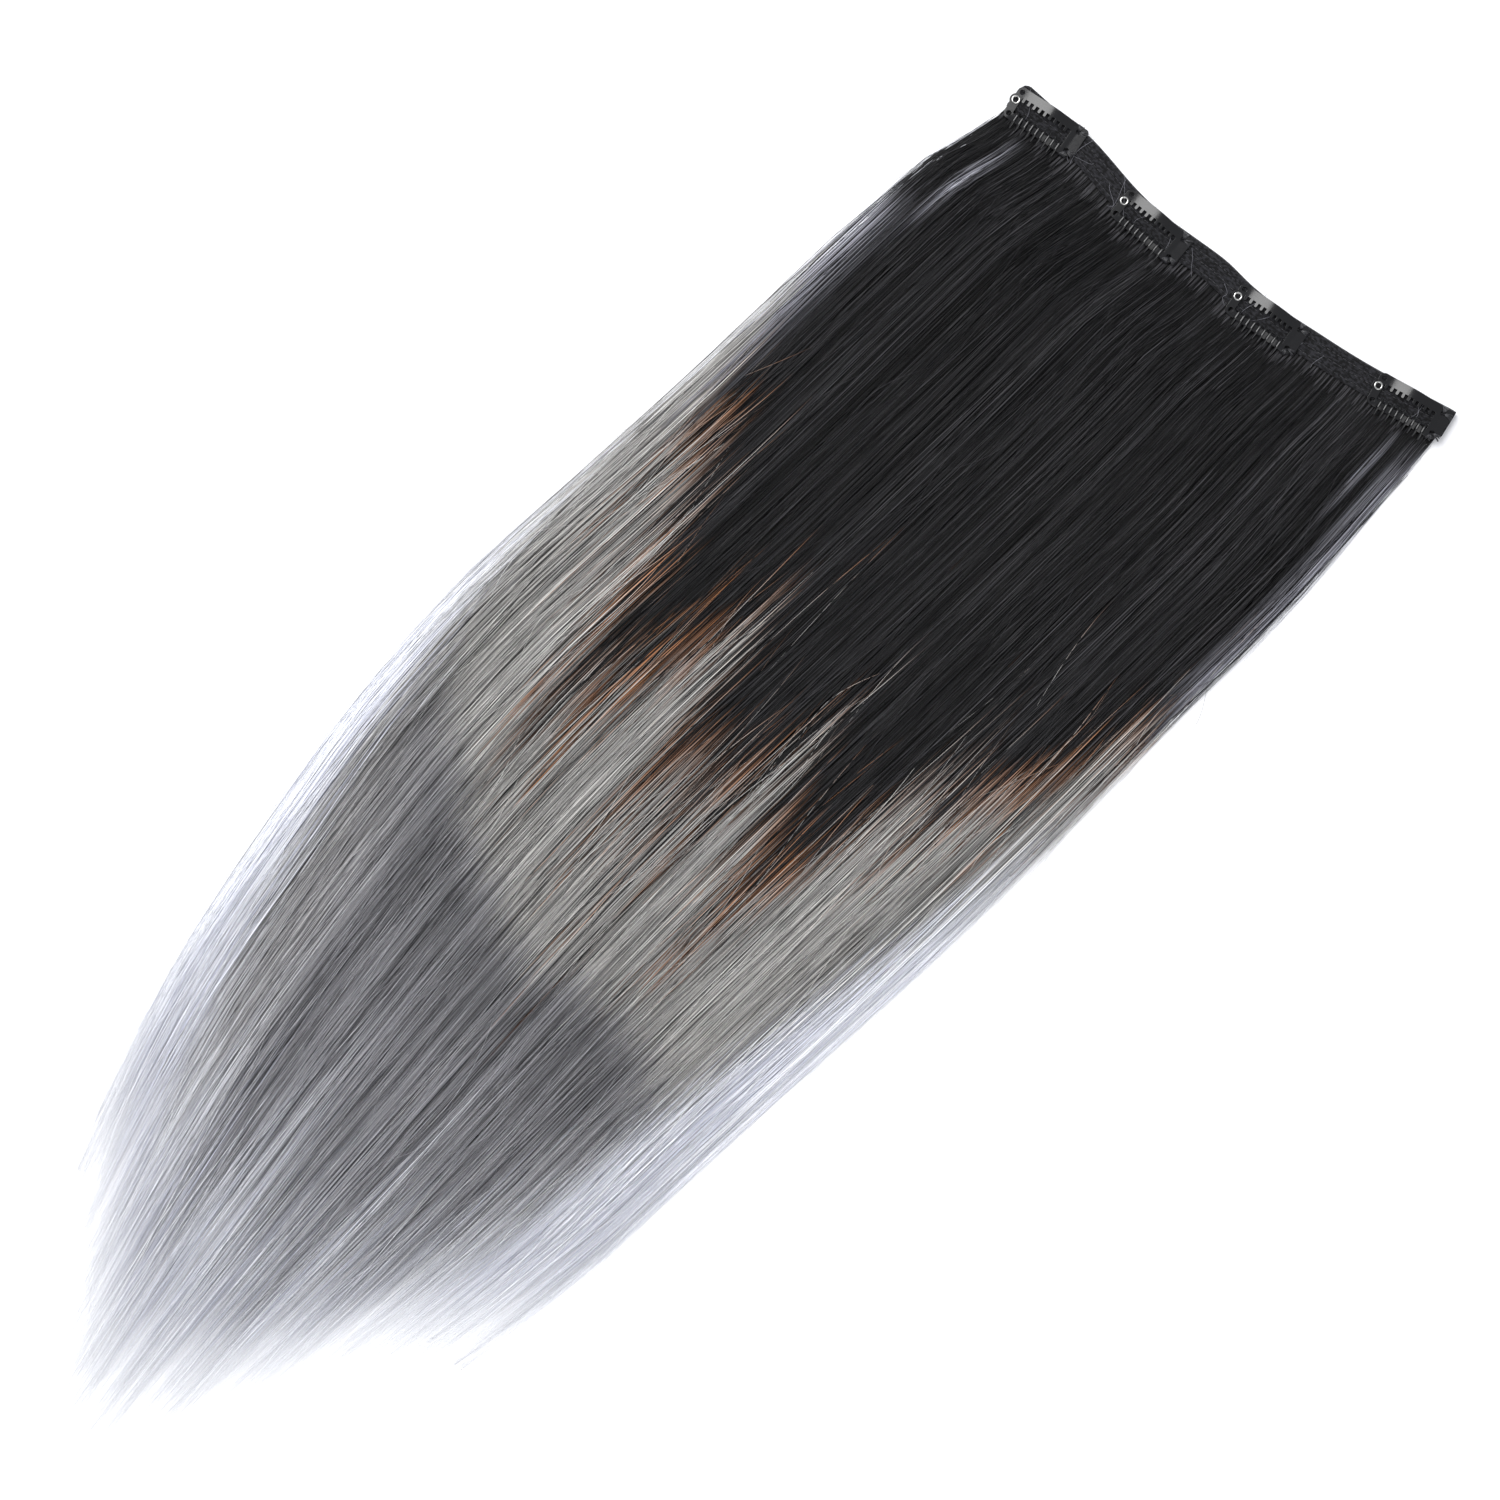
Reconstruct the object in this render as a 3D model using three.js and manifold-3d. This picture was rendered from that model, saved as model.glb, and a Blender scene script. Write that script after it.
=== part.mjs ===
// A clip in hair extension: one wide weft of straight hair with four snap combs, lying flat.
// Millimetres. +X runs along the tape, +Y points away from the hair, +Z up.
// The origin is on the underside of the tape, at its middle.

import * as THREE from 'three';
import { mergeVertices } from 'three/addons/utils/BufferGeometryUtils.js';
import Module from 'manifold-3d';

const wasm = await Module();
wasm.setup();

// Tape: a woven band folded over the roots of the hair
const tapeLength = 203;
const tapeWidth = 11;
const tapeWall = 0.9;
const tapeSag = 9.6;
const tapeFoldDepth = 1.6;
const tapeHemRounding = 0.35;
const tapeSteps = 40;

// Hair
const rootsThickness = 1.6;
const rootsTuck = 3;
const hairLength = 606;
const hairThickness = 8;
const lockCount = 14;
const lockOverlap = 0.9;
const lockUnevenness = 0.1;
const lockUnevenTurn = 2.4;
const lockWander = 0.16;
const lockWanderTurn = 1.7;
const tipRaggedness = 14;
const tipRaggedTurn = 2.2;
const settleLength = 9;

// Snap comb
const clipLength = 31;
const clipWidth = 13.2;
const plateThickness = 0.6;
const plateBow = 1.6;
const clipInset = 0.5;
const backLegWidth = 3.5;
const frontLegWidth = 2.6;
const rivetEndWidth = 3.2;
const sewnEndWidth = 6;
const cornerRadius = 2.2;
const cornerChamfer = 3;
const toothPitch = 2.35;
const shortToothWidth = 1.1;
const shortToothLength = 1.8;
const fingerWidth = 0.8;
const fingerThickness = 0.6;
const fingerReachIn = 1.4;
const fingerReachOut = 2.5;
const fingerRise = 0.9;
const fingerDrop = 0.5;
const fingerRounding = 0.15;
const sewingHoleRadius = 1;
const rivetEndHoleInset = 2;
const sewnEndHoleInset = 2.4;
const roundHoleSides = 8;
const flatEnd = 3.4;
const bowFolds = 8;

// Eyelet rivet that holds the two split ends of the comb's loop
const rivetBarrelRadius = 1.1;
const rivetBoreRadius = 0.7;
const rivetFlangeRadius = 1.7;
const rivetFlangeThickness = 0.4;
const rivetRounding = 0.15;
const rivetTabMargin = 1;
const rivetSides = 10;
const rivetDown = 5.6;

// Gap kept between pieces that touch on the real object
const clearance = 0.3;

// Points nearer than this are one point
const weldDistance = 1e-4;

const rootsBottom = tapeWall + clearance;
const rootsTop = rootsBottom + rootsThickness;
const tapeThickness = rootsTop + clearance + tapeWall;
const plateBottom = tapeThickness + clearance;
const tapeChannelEnd = -tapeWall - tapeFoldDepth / 4;
const halfTape = tapeLength / 2;

// The edge of the tape away from the hair, left to right: shares of half the length and of the sag
const tapeEdge = [
  { across: -1.0, dip: 0.0 },
  { across: -0.85, dip: 0.12 },
  { across: -0.7, dip: 0.16 },
  { across: -0.58, dip: 0.38 },
  { across: -0.45, dip: 0.68 },
  { across: -0.3, dip: 0.86 },
  { across: -0.15, dip: 0.82 },
  { across: 0.0, dip: 0.8 },
  { across: 0.1, dip: 0.95 },
  { across: 0.24, dip: 1.0 },
  { across: 0.4, dip: 0.88 },
  { across: 0.6, dip: 0.7 },
  { across: 0.8, dip: 0.4 },
  { across: 1.0, dip: 0.05 },
];

// Sides of the lying hair: shares of its length, and of half the tape's length
const hairSides = [
  { down: 0.0, left: -1.0, right: 1.0 },
  { down: 0.05, left: -1.09, right: 0.985 },
  { down: 0.15, left: -1.2, right: 0.945 },
  { down: 0.25, left: -1.29, right: 0.85 },
  { down: 0.35, left: -1.4, right: 0.77 },
  { down: 0.45, left: -1.52, right: 0.68 },
  { down: 0.55, left: -1.57, right: 0.57 },
  { down: 0.65, left: -1.55, right: 0.455 },
  { down: 0.75, left: -1.51, right: 0.355 },
  { down: 0.85, left: -1.38, right: 0.18 },
  { down: 1.0, left: -1.1, right: -0.13 },
];

// Where the locks end, from the left side to the right: shares of the hair's length
const hairEnds = [
  { across: 0.0, length: 0.88 },
  { across: 0.12, length: 0.95 },
  { across: 0.26, length: 1.0 },
  { across: 0.42, length: 0.99 },
  { across: 0.6, length: 0.955 },
  { across: 0.8, length: 0.9 },
  { across: 1.0, length: 0.84 },
];

// One lock from the tape to its tip: shares of its length, of the full thickness and of its pitch
const lockForm = [
  { along: 0.03, thick: 0.62, wide: 1.0 },
  { along: 0.09, thick: 0.92, wide: 1.0 },
  { along: 0.2, thick: 1.0, wide: 1.0 },
  { along: 0.34, thick: 0.95, wide: 1.0 },
  { along: 0.48, thick: 0.84, wide: 1.0 },
  { along: 0.62, thick: 0.7, wide: 1.0 },
  { along: 0.75, thick: 0.55, wide: 0.98 },
  { along: 0.86, thick: 0.42, wide: 0.86 },
  { along: 0.94, thick: 0.32, wide: 0.56 },
  { along: 1.0, thick: 0.16, wide: 0.14 },
];

// Upper half of a lock's section: shares of its half width and of its thickness
const lockSection = [
  { side: -1.0, height: 0.0 },
  { side: -0.9, height: 0.5 },
  { side: -0.5, height: 0.88 },
  { side: 0.0, height: 1.0 },
  { side: 0.5, height: 0.88 },
  { side: 0.9, height: 0.5 },
  { side: 1.0, height: 0.0 },
];

// The combs along the tape: shares of half its length, and degrees turned from its chord
const clips = [
  { name: 'clip_1', across: -0.853, turn: 3 },
  { name: 'clip_2', across: -0.304, turn: -3 },
  { name: 'clip_3', across: 0.237, turn: 2 },
  { name: 'clip_4', across: 0.842, turn: 7 },
];

const hairMaterial = new THREE.MeshStandardMaterial({ color: 0x55565a, roughness: 0.5, metalness: 0 });
const tapeMaterial = new THREE.MeshStandardMaterial({ color: 0x1b1b1e, roughness: 0.9, metalness: 0 });
const steelMaterial = new THREE.MeshStandardMaterial({ color: 0x0a0a0c, roughness: 0.25, metalness: 0.2 });
const nickelMaterial = new THREE.MeshStandardMaterial({ color: 0xc8c8cc, roughness: 0.2, metalness: 1 });

// Value of one column of a table at a place between its rows
function readTable(table, key, at, column) {
  if (at <= table[0][key]) {
    return table[0][column];
  }
  for (let i = 1; i < table.length; i += 1) {
    const low = table[i - 1];
    const high = table[i];
    if (at <= high[key]) {
      const share = (at - low[key]) / (high[key] - low[key]);
      return THREE.MathUtils.lerp(low[column], high[column], share);
    }
  }
  return table[table.length - 1][column];
}

function arcPoints(x, y, radius, from, to, steps) {
  return Array.from({ length: steps + 1 }, (_, k) => {
    const angle = THREE.MathUtils.degToRad(THREE.MathUtils.lerp(from, to, k / steps));
    return new THREE.Vector2(x + radius * Math.cos(angle), y + radius * Math.sin(angle));
  });
}

// Solids
function toSolid(geometry) {
  const bare = geometry.clone();
  bare.deleteAttribute('normal');
  bare.deleteAttribute('uv');
  const merged = mergeVertices(bare, weldDistance);
  return new wasm.Manifold(new wasm.Mesh({
    numProp: 3,
    vertProperties: Float32Array.from(merged.attributes.position.array),
    triVerts: Uint32Array.from(merged.index.array),
  }));
}

function toGeometry(solid) {
  const mesh = solid.getMesh();
  const geometry = new THREE.BufferGeometry();
  geometry.setAttribute('position', new THREE.BufferAttribute(mesh.vertProperties, 3));
  geometry.setIndex(new THREE.BufferAttribute(mesh.triVerts, 1));
  geometry.computeVertexNormals();
  return geometry;
}

// A closed skin over a row of rings with equal numbers of points, each ring turning the same way
function loft(rings, flat) {
  const size = rings[0].length;
  const positions = rings.flat().flatMap((point) => [point.x, point.y, point.z]);
  const index = [];
  for (let r = 0; r + 1 < rings.length; r += 1) {
    for (let k = 0; k < size; k += 1) {
      const here = r * size + k;
      const next = r * size + (k + 1) % size;
      index.push(here, next, here + size);
      index.push(next, next + size, here + size);
    }
  }
  const last = (rings.length - 1) * size;
  for (const [a, b, c] of THREE.ShapeUtils.triangulateShape(flat, [])) {
    index.push(a, c, b);
    index.push(last + a, last + b, last + c);
  }
  const geometry = new THREE.BufferGeometry();
  geometry.setAttribute('position', new THREE.Float32BufferAttribute(positions, 3));
  geometry.setIndex(index);
  return geometry;
}

// Tape
const edgeCurve = new THREE.CatmullRomCurve3(
  tapeEdge.map((row) => new THREE.Vector3(row.across * halfTape, -row.dip * tapeSag, 0)),
);

function edgeHeight(x) {
  return -tapeSag * readTable(tapeEdge, 'across', x / halfTape, 'dip');
}

// Sweeps a flat outline along the tape's edge; outline x runs away from the hair, y runs up
function alongTape(outline, trim) {
  const rings = [];
  for (let i = 0; i <= tapeSteps; i += 1) {
    const share = THREE.MathUtils.lerp(trim / tapeLength, 1 - trim / tapeLength, i / tapeSteps);
    const point = edgeCurve.getPointAt(share);
    const ahead = edgeCurve.getTangentAt(share);
    const away = new THREE.Vector3(-ahead.y, ahead.x, 0);
    rings.push(outline.map((p) => point.clone().addScaledVector(away, p.x).setZ(p.y)));
  }
  return loft(rings, outline);
}

function makeTape() {
  const middle = tapeThickness / 2;
  const mouth = -tapeWidth;
  const fold = arcPoints(0, 0, 1, -90, 90, 4);
  const outline = [
    new THREE.Vector2(mouth, 0),
    ...fold.map((p) => new THREE.Vector2(tapeFoldDepth * (p.x - 1), middle * (1 + p.y))),
    new THREE.Vector2(mouth + tapeHemRounding, tapeThickness),
    new THREE.Vector2(mouth, tapeThickness - tapeHemRounding),
    new THREE.Vector2(mouth, tapeThickness - tapeWall),
    new THREE.Vector2(tapeChannelEnd, tapeThickness - tapeWall),
    new THREE.Vector2(tapeChannelEnd, tapeWall),
    new THREE.Vector2(mouth, tapeWall),
  ];
  return new THREE.Mesh(alongTape(outline, 0), tapeMaterial);
}

// Hair
function hairSide(y, column) {
  return halfTape * readTable(hairSides, 'down', -y / hairLength, column);
}

function makeRootsStrip() {
  const inner = tapeChannelEnd - clearance;
  const outer = -tapeWidth - clearance;
  const outline = [
    new THREE.Vector2(outer, rootsBottom),
    new THREE.Vector2(inner, rootsBottom),
    new THREE.Vector2(inner, rootsTop),
    new THREE.Vector2(outer, rootsTop),
  ];
  return alongTape(outline, clearance);
}

// Where the hair comes out of the tape
function mouthAt(x) {
  return edgeHeight(x) - tapeWidth;
}

function makeLock(number) {
  const across = number / (lockCount - 1);
  const fullness = 1 + lockUnevenness * Math.sin(number * lockUnevenTurn);
  const ragged = tipRaggedness * (1 + Math.cos(number * tipRaggedTurn)) / 2;
  const tipY = -hairLength * readTable(hairEnds, 'across', across, 'length') + ragged;
  const halfWidthAt = (y) => lockOverlap * (hairSide(y, 'right') - hairSide(y, 'left')) / lockCount;
  const centreAt = (y) => THREE.MathUtils.lerp(
    hairSide(y, 'left') + halfWidthAt(y),
    hairSide(y, 'right') - halfWidthAt(y),
    across,
  );
  const rootX = centreAt(0);
  const rootWidth = halfWidthAt(0);

  // A ring at a share of the way from a line that follows the tape's mouth to the tip
  const ring = (offset, along, halfWidthShare, bottom, top) => {
    const middleY = THREE.MathUtils.lerp(mouthAt(rootX) + offset, tipY, along);
    const halfWidth = halfWidthShare * halfWidthAt(middleY);
    const wander = lockWander * halfWidth * Math.sin(number * lockWanderTurn + along * Math.PI) * along;
    return lockSection.map((row) => new THREE.Vector3(
      centreAt(middleY) + wander + row.side * halfWidth,
      THREE.MathUtils.lerp(mouthAt(rootX + row.side * rootWidth) + offset, tipY, along),
      THREE.MathUtils.lerp(bottom, top, row.height),
    ));
  };
  const seam = clearance / 3;
  const rings = [
    ring(rootsTuck, 0, 1, rootsBottom + seam, rootsTop - seam),
    ring(-2 * clearance, 0, 1, rootsBottom + seam, rootsTop - seam),
    ring(-settleLength, 0, 1, 0, rootsTop + 2 * clearance),
    ...lockForm.map((row) => ring(-settleLength, row.along, row.wide, 0, hairThickness * row.thick * fullness)),
  ];
  const flat = lockSection.map((row) => new THREE.Vector2(row.side, row.height));
  return loft(rings.map((points) => points.reverse()), flat.reverse());
}

function makeHair() {
  let solid = toSolid(makeRootsStrip());
  for (let number = 0; number < lockCount; number += 1) {
    solid = solid.add(toSolid(makeLock(number)));
  }
  return new THREE.Mesh(toGeometry(solid), hairMaterial);
}

// Snap comb: x runs from its riveted end, y from its back edge towards the hair
function bowAt(x) {
  const share = THREE.MathUtils.clamp((x - flatEnd) / (clipLength - 2 * flatEnd), 0, 1);
  return plateBow * Math.sin(Math.PI * share) ** 2;
}

// Raises a slice by the bow, with its cut faces brought exactly onto the fold lines at its two ends
function bent(geometry, ends) {
  const position = geometry.attributes.position;
  for (let i = 0; i < position.count; i += 1) {
    const end = ends.find((x) => Math.abs(x - position.getX(i)) < weldDistance);
    const x = end === undefined ? position.getX(i) : end;
    position.setX(i, x);
    position.setZ(i, position.getZ(i) + bowAt(x));
  }
  return geometry;
}

// Bends a flat solid over a row of straight fold lines, one slice between two lines at a time
function bowed(flatSolid) {
  const lines = [-2 * clipLength];
  for (let i = 0; i <= bowFolds; i += 1) {
    lines.push(THREE.MathUtils.lerp(flatEnd, clipLength - flatEnd, i / bowFolds));
  }
  lines.push(2 * clipLength);
  let solid = null;
  for (let i = 0; i + 1 < lines.length; i += 1) {
    const width = lines[i + 1] - lines[i];
    const slab = new THREE.BoxGeometry(width, 4 * clipWidth, 4 * clipWidth);
    slab.translate(lines[i] + width / 2, 0, 0);
    const flatSlice = toGeometry(flatSolid.intersect(toSolid(slab)));
    const slice = toSolid(bent(flatSlice, [lines[i], lines[i + 1]]));
    solid = solid ? solid.add(slice) : slice;
  }
  return solid;
}

const windowStart = rivetEndWidth;
const windowEnd = clipLength - sewnEndWidth;
const toothCount = Math.floor((windowEnd - windowStart) / toothPitch);
const firstTooth = windowStart + (windowEnd - windowStart - (toothCount - 1) * toothPitch) / 2 - toothPitch / 4;
const rivetX = rivetBarrelRadius + clearance;

function plateOutline() {
  const far = clipLength - cornerRadius / 2;
  const tabRadius = rivetBarrelRadius + clearance + rivetTabMargin;
  return [
    ...arcPoints(cornerRadius, cornerRadius, cornerRadius, 180, 270, 3),
    ...arcPoints(far, cornerRadius / 2, cornerRadius / 2, 270, 360, 2),
    new THREE.Vector2(clipLength, clipWidth - cornerChamfer),
    new THREE.Vector2(clipLength - cornerChamfer, clipWidth),
    ...arcPoints(cornerRadius, clipWidth - cornerRadius, cornerRadius, 90, 180, 3),
    ...arcPoints(rivetX, rivetDown, tabRadius, 125, 235, 5),
  ];
}

function windowOutline() {
  const top = backLegWidth;
  const bottom = clipWidth - frontLegWidth;
  const points = [new THREE.Vector2(windowStart, bottom), new THREE.Vector2(windowStart, top)];
  for (let k = 0; k < toothCount; k += 1) {
    const x = firstTooth + k * toothPitch;
    const half = shortToothWidth / 2;
    points.push(
      new THREE.Vector2(x - half, top),
      new THREE.Vector2(x - half, top + shortToothLength - half),
      new THREE.Vector2(x - half / 2, top + shortToothLength),
      new THREE.Vector2(x + half / 2, top + shortToothLength),
      new THREE.Vector2(x + half, top + shortToothLength - half),
      new THREE.Vector2(x + half, top),
    );
  }
  points.push(new THREE.Vector2(windowEnd, top), new THREE.Vector2(windowEnd, bottom));
  return points;
}

function makePlate() {
  const shape = new THREE.Shape(plateOutline());
  const rounds = [
    [rivetEndHoleInset, rivetEndHoleInset, sewingHoleRadius],
    [rivetEndHoleInset, clipWidth - rivetEndHoleInset, sewingHoleRadius],
    [clipLength - flatEnd, sewnEndHoleInset, sewingHoleRadius],
    [clipLength - flatEnd, clipWidth - sewnEndHoleInset, sewingHoleRadius],
    [rivetX, rivetDown, rivetBarrelRadius + clearance],
  ];
  const lastAngle = 360 - 360 / roundHoleSides;
  shape.holes = [
    new THREE.Path(windowOutline()),
    ...rounds.map(([x, y, radius]) => new THREE.Path(arcPoints(x, y, radius, 0, lastAngle, roundHoleSides - 1))),
  ];
  return bowed(toSolid(new THREE.ExtrudeGeometry(shape, { depth: plateThickness, bevelEnabled: false })));
}

// A finger springs from inside the window, arches over the front leg and turns down outside it
function makeFinger(x) {
  const legTop = clipWidth - frontLegWidth;
  const inner = legTop - fingerReachIn;
  const outer = clipWidth + fingerReachOut;
  const seat = plateThickness / 4;
  const top = plateThickness + fingerRise;
  const outline = [
    [inner, seat + fingerRounding],
    [legTop, seat],
    [clipWidth - fingerRounding, seat],
    [outer - fingerThickness, -fingerDrop],
    [outer, -fingerDrop + fingerRounding],
    [clipWidth + fingerReachOut / 2, plateThickness],
    [clipWidth, top - 2 * fingerRounding],
    [clipWidth - frontLegWidth / 2, top],
    [legTop, top - fingerRounding],
    [inner, plateThickness + fingerRounding],
  ];
  const shape = new THREE.Shape(outline.map(([y, z]) => new THREE.Vector2(y, z)));
  const geometry = new THREE.ExtrudeGeometry(shape, { depth: fingerWidth, bevelEnabled: false });
  // Outline x becomes y, outline y becomes z, depth becomes x
  geometry.applyMatrix4(new THREE.Matrix4().set(
    0, 0, 1, x - fingerWidth / 2,
    1, 0, 0, 0,
    0, 1, 0, bowAt(x),
    0, 0, 0, 1,
  ));
  return geometry;
}

function makeComb() {
  let solid = makePlate();
  for (let k = 0; k < toothCount; k += 1) {
    solid = solid.add(toSolid(makeFinger(firstTooth + (k + 0.5) * toothPitch)));
  }
  return toGeometry(solid);
}

function makeRivet() {
  const flangeBottom = plateThickness + clearance;
  const top = flangeBottom + rivetFlangeThickness;
  const profile = [
    [rivetBoreRadius, 0],
    [rivetBarrelRadius, 0],
    [rivetBarrelRadius, flangeBottom],
    [rivetFlangeRadius, flangeBottom],
    [rivetFlangeRadius - rivetRounding, top],
    [rivetBoreRadius + rivetRounding, top],
    [rivetBoreRadius, flangeBottom],
    [rivetBoreRadius, 0],
  ].map(([x, y]) => new THREE.Vector2(x, y));
  return new THREE.LatheGeometry(profile, rivetSides).rotateX(Math.PI / 2);
}

// Stands a comb and its rivet on the tape, a little inside its edge
function placeClip(row) {
  const holder = new THREE.Group();
  const x = row.across * halfTape;
  holder.position.set(x, edgeHeight(x) - clipInset, plateBottom);
  holder.rotation.z = THREE.MathUtils.degToRad(row.turn);

  const comb = new THREE.Mesh(combGeometry, steelMaterial);
  comb.name = `${row.name}_plate`;
  comb.position.x = -clipLength / 2;
  holder.add(comb);

  const rivet = new THREE.Mesh(rivetGeometry, nickelMaterial);
  rivet.name = `${row.name}_rivet`;
  rivet.position.set(rivetX - clipLength / 2, -rivetDown, 0);
  holder.add(rivet);
  return holder;
}

// Mirrors y, so that the front leg faces the hair, and keeps the faces pointing out
function mirroredY(geometry) {
  const flipped = geometry.clone();
  flipped.scale(1, -1, 1);
  const index = flipped.index.array;
  for (let i = 0; i < index.length; i += 3) {
    [index[i + 1], index[i + 2]] = [index[i + 2], index[i + 1]];
  }
  flipped.computeVertexNormals();
  return flipped;
}

const combGeometry = mirroredY(makeComb());
const rivetGeometry = makeRivet();

const extension = new THREE.Group();
const placed = new THREE.Group();
placed.position.y = tapeWidth / 2 - edgeHeight(0);
extension.add(placed);

const tape = makeTape();
tape.name = 'weft_tape';
placed.add(tape);

const hair = makeHair();
hair.name = 'hair';
placed.add(hair);

for (const row of clips) {
  placed.add(placeClip(row));
}

export default extension;
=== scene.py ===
"""A clip in hair extension: one wide weft of straight ombre hair with four snap combs, lying flat.

Metres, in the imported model's frame: +X along the tape, +Y away from the hair, +Z up.
"""

import math

import bmesh
import bpy
import numpy as np
from mathutils import Matrix, Vector


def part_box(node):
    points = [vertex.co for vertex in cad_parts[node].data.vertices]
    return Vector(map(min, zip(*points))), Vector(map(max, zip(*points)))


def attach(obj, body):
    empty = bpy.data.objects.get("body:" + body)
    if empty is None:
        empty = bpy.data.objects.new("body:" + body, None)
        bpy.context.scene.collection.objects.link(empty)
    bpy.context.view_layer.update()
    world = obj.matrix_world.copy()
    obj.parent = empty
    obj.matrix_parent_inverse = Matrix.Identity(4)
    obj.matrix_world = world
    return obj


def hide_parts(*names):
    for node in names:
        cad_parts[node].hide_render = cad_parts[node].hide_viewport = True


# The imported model
# Its solids stay where they are, and every piece below is made round them.
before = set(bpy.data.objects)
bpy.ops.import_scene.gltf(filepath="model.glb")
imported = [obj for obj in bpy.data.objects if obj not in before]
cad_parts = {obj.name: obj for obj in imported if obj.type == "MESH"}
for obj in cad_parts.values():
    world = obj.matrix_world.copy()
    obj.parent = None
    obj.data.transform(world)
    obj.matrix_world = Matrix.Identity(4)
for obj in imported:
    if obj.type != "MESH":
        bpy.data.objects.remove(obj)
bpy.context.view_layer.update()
bpy.ops.object.select_all(action="DESELECT")
mm = 0.001

# The camera
# It looks straight down on the hair as it lies, turned so that the tape runs to the lower right.
lens_mm = 85
sensor_mm = 36
seen_width = 562.5 * mm
camera_turn = math.radians(37.3)
camera_height = seen_width * lens_mm / sensor_mm
camera_data = bpy.data.cameras.new("camera")
camera_data.lens = lens_mm
camera_data.sensor_width = sensor_mm
camera = bpy.data.objects.new("camera", camera_data)
camera.location = (-32.1 * mm, -248.3 * mm, camera_height)
camera.rotation_euler = (0, 0, camera_turn)
bpy.context.scene.collection.objects.link(camera)
bpy.context.scene.camera = camera


class Wire:
    """One output of a material's nodes. Arithmetic on it adds Math nodes, node() adds any other."""

    def __init__(self, tree, socket):
        self.tree = tree
        self.socket = socket

    def node(self, kind, settings=None, sockets=None, output=0):
        made = self.tree.nodes.new(kind)
        for name, value in (settings or {}).items():
            if name == "stops":
                ramp = made.color_ramp.elements
                while len(ramp) < len(value):
                    ramp.new(0.5)
                for element, (place, colour) in zip(ramp, value):
                    element.position = place
                    element.color = colour
            else:
                setattr(made, name, value)
        for name, value in (sockets or {}).items():
            if isinstance(value, Wire):
                self.tree.links.new(value.socket, made.inputs[name])
            else:
                made.inputs[name].default_value = value
        return Wire(self.tree, made.outputs[output] if made.outputs else None)

    def maths(self, operation, first, second=0.0):
        return self.node("ShaderNodeMath", {"operation": operation}, {0: first, 1: second})

    def __add__(self, other):
        return self.maths("ADD", self, other)

    def __radd__(self, other):
        return self.maths("ADD", other, self)

    def __sub__(self, other):
        return self.maths("SUBTRACT", self, other)

    def __rsub__(self, other):
        return self.maths("SUBTRACT", other, self)

    def __mul__(self, other):
        return self.maths("MULTIPLY", self, other)

    def __rmul__(self, other):
        return self.maths("MULTIPLY", other, self)

    def attribute(self, name):
        return self.node("ShaderNodeAttribute", {"attribute_name": name}, output=2)

    def rise(self, start, end):
        """0 before start and 1 after end, with a smooth slope between."""
        return self.node(
            "ShaderNodeMapRange",
            {"interpolation_type": "SMOOTHSTEP"},
            {"Value": self, "From Min": start, "From Max": end},
        )

    def noise(self, scale, detail=2.0, stretch=(1, 1, 1)):
        """Noise of about 0 to 1 at this place, finer along an axis with a larger stretch."""
        place = self.node("ShaderNodeMapping", None, {"Vector": self, "Scale": stretch})
        return self.node("ShaderNodeTexNoise", None, {"Vector": place, "Scale": scale, "Detail": detail})

    def mix(self, first, second):
        """first where this wire is 0, second where it is 1."""
        return self.node("ShaderNodeMix", {"data_type": "RGBA"}, {0: self, 6: first, 7: second}, output=2)

    def held(self):
        """This wire kept between 0 and 1."""
        return self.node("ShaderNodeClamp", None, {"Value": self})

    def bump(self, depth, strength=1.0):
        return self.node("ShaderNodeBump", None, {"Height": self, "Distance": depth, "Strength": strength})


def new_material(name):
    """An empty material, and the wire with its Object coordinates."""
    material = bpy.data.materials.new(name)
    material.use_nodes = True
    material.node_tree.nodes.clear()
    blank = Wire(material.node_tree, None)
    return material, blank.node("ShaderNodeTexCoord", output=3)


def close_material(place, sockets):
    """Ends the material that this wire belongs to in a Principled shader with these sockets."""
    surface = place.node("ShaderNodeBsdfPrincipled", None, sockets)
    place.node("ShaderNodeOutputMaterial", None, {"Surface": surface})


# The table top under the hair, and the light
# Plain near-white board. A large softbox stands on the side of the combs' riveted ends.
floor_colour = (0.86, 0.86, 0.87, 1)
bpy.ops.mesh.primitive_plane_add(size=12, location=(0, 0, -0.2 * mm))
floor = bpy.context.object
floor.name = "floor"
floor_material, floor_place = new_material("white_board")
close_material(
    floor_place,
    {
        "Base Color": floor_place.noise(3.0).mix(floor_colour, (0.83, 0.83, 0.845, 1)),
        "Roughness": 0.8,
        "Normal": floor_place.noise(900.0).bump(0.05 * mm, 0.2),
    },
)
floor.data.materials.append(floor_material)


def add_softbox(name, place, aim, width, height, power):
    data = bpy.data.lights.new(name, "AREA")
    data.shape = "RECTANGLE"
    data.size = width
    data.size_y = height
    data.energy = power
    lamp = bpy.data.objects.new(name, data)
    lamp.location = place
    lamp.rotation_euler = (Vector(aim) - Vector(place)).to_track_quat("-Z", "Y").to_euler()
    bpy.context.scene.collection.objects.link(lamp)


hair_middle = (-0.03, -0.25, 0)
add_softbox("softbox", (-0.93, 0.15, 1.5), hair_middle, 1.0, 1.4, 40)
add_softbox("fill", (0.9, -0.9, 1.6), hair_middle, 1.2, 1.2, 7.5)
world = bpy.data.worlds.new("studio")
world.use_nodes = True
world.node_tree.nodes["Background"].inputs["Color"].default_value = (0.93, 0.95, 1.0, 1)
world.node_tree.nodes["Background"].inputs["Strength"].default_value = 0.62
bpy.context.scene.world = world
bpy.context.scene.view_settings.view_transform = "Standard"


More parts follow.
